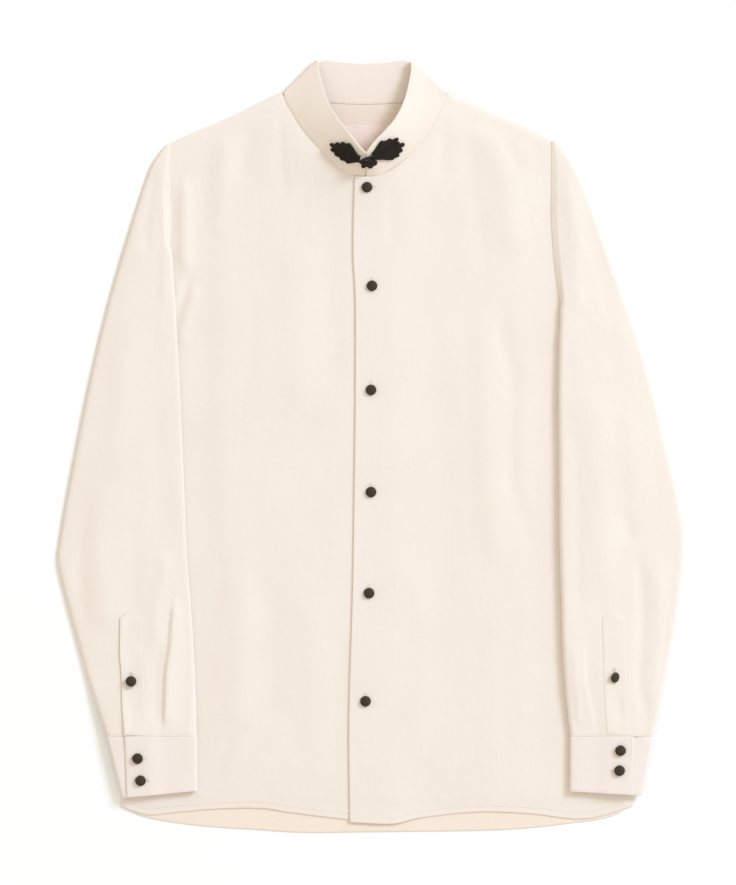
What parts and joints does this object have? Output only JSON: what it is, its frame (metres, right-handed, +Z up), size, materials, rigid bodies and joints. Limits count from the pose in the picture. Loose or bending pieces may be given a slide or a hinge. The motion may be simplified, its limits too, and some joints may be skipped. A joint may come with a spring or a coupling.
{
  "type": "long-sleeve shirt",
  "caption": "Cream band-collar long-sleeve shirt with dark covered buttons and a black corded frog closure, laid out flat on its back.",
  "frame": {"origin": "middle of the laid-out shirt on the surface that it lies on", "axes": "+X to the wearer's left, +Y from hem to collar, +Z up, out of the shirt's front"},
  "size_m": [0.6268, 0.7724, 0.0304],
  "materials": {
    "crepe_cloth": "matt crepe weave",
    "fused_cloth": "matt crepe weave over a fused lining",
    "black_cord": "satin twisted cord",
    "covered_button": "dark cloth-covered dome, low sheen",
    "label_weave": "soft damask ribbon, bare"
  },
  "bodies": {
    "root": {"back_panel": "crepe_cloth", "front_right": "crepe_cloth", "front_left": "crepe_cloth", "sleeve_right": "crepe_cloth", "sleeve_left": "crepe_cloth", "sleeve_placket_right": "crepe_cloth", "sleeve_placket_left": "crepe_cloth", "collar": "fused_cloth", "cuff_right": "fused_cloth", "cuff_left": "fused_cloth", "frog_wing_right": "black_cord", "frog_wing_left": "black_cord", "frog_knot": "black_cord", "button_front_1": "covered_button", "button_front_2": "covered_button", "button_front_3": "covered_button", "button_front_4": "covered_button", "button_front_5": "covered_button", "button_front_6": "covered_button", "button_cuff_right_1": "covered_button", "button_cuff_right_2": "covered_button", "button_cuff_left_1": "covered_button", "button_cuff_left_2": "covered_button", "button_placket_right": "covered_button", "button_placket_left": "covered_button", "neck_label": "label_weave"}
  },
  "joints": []
}
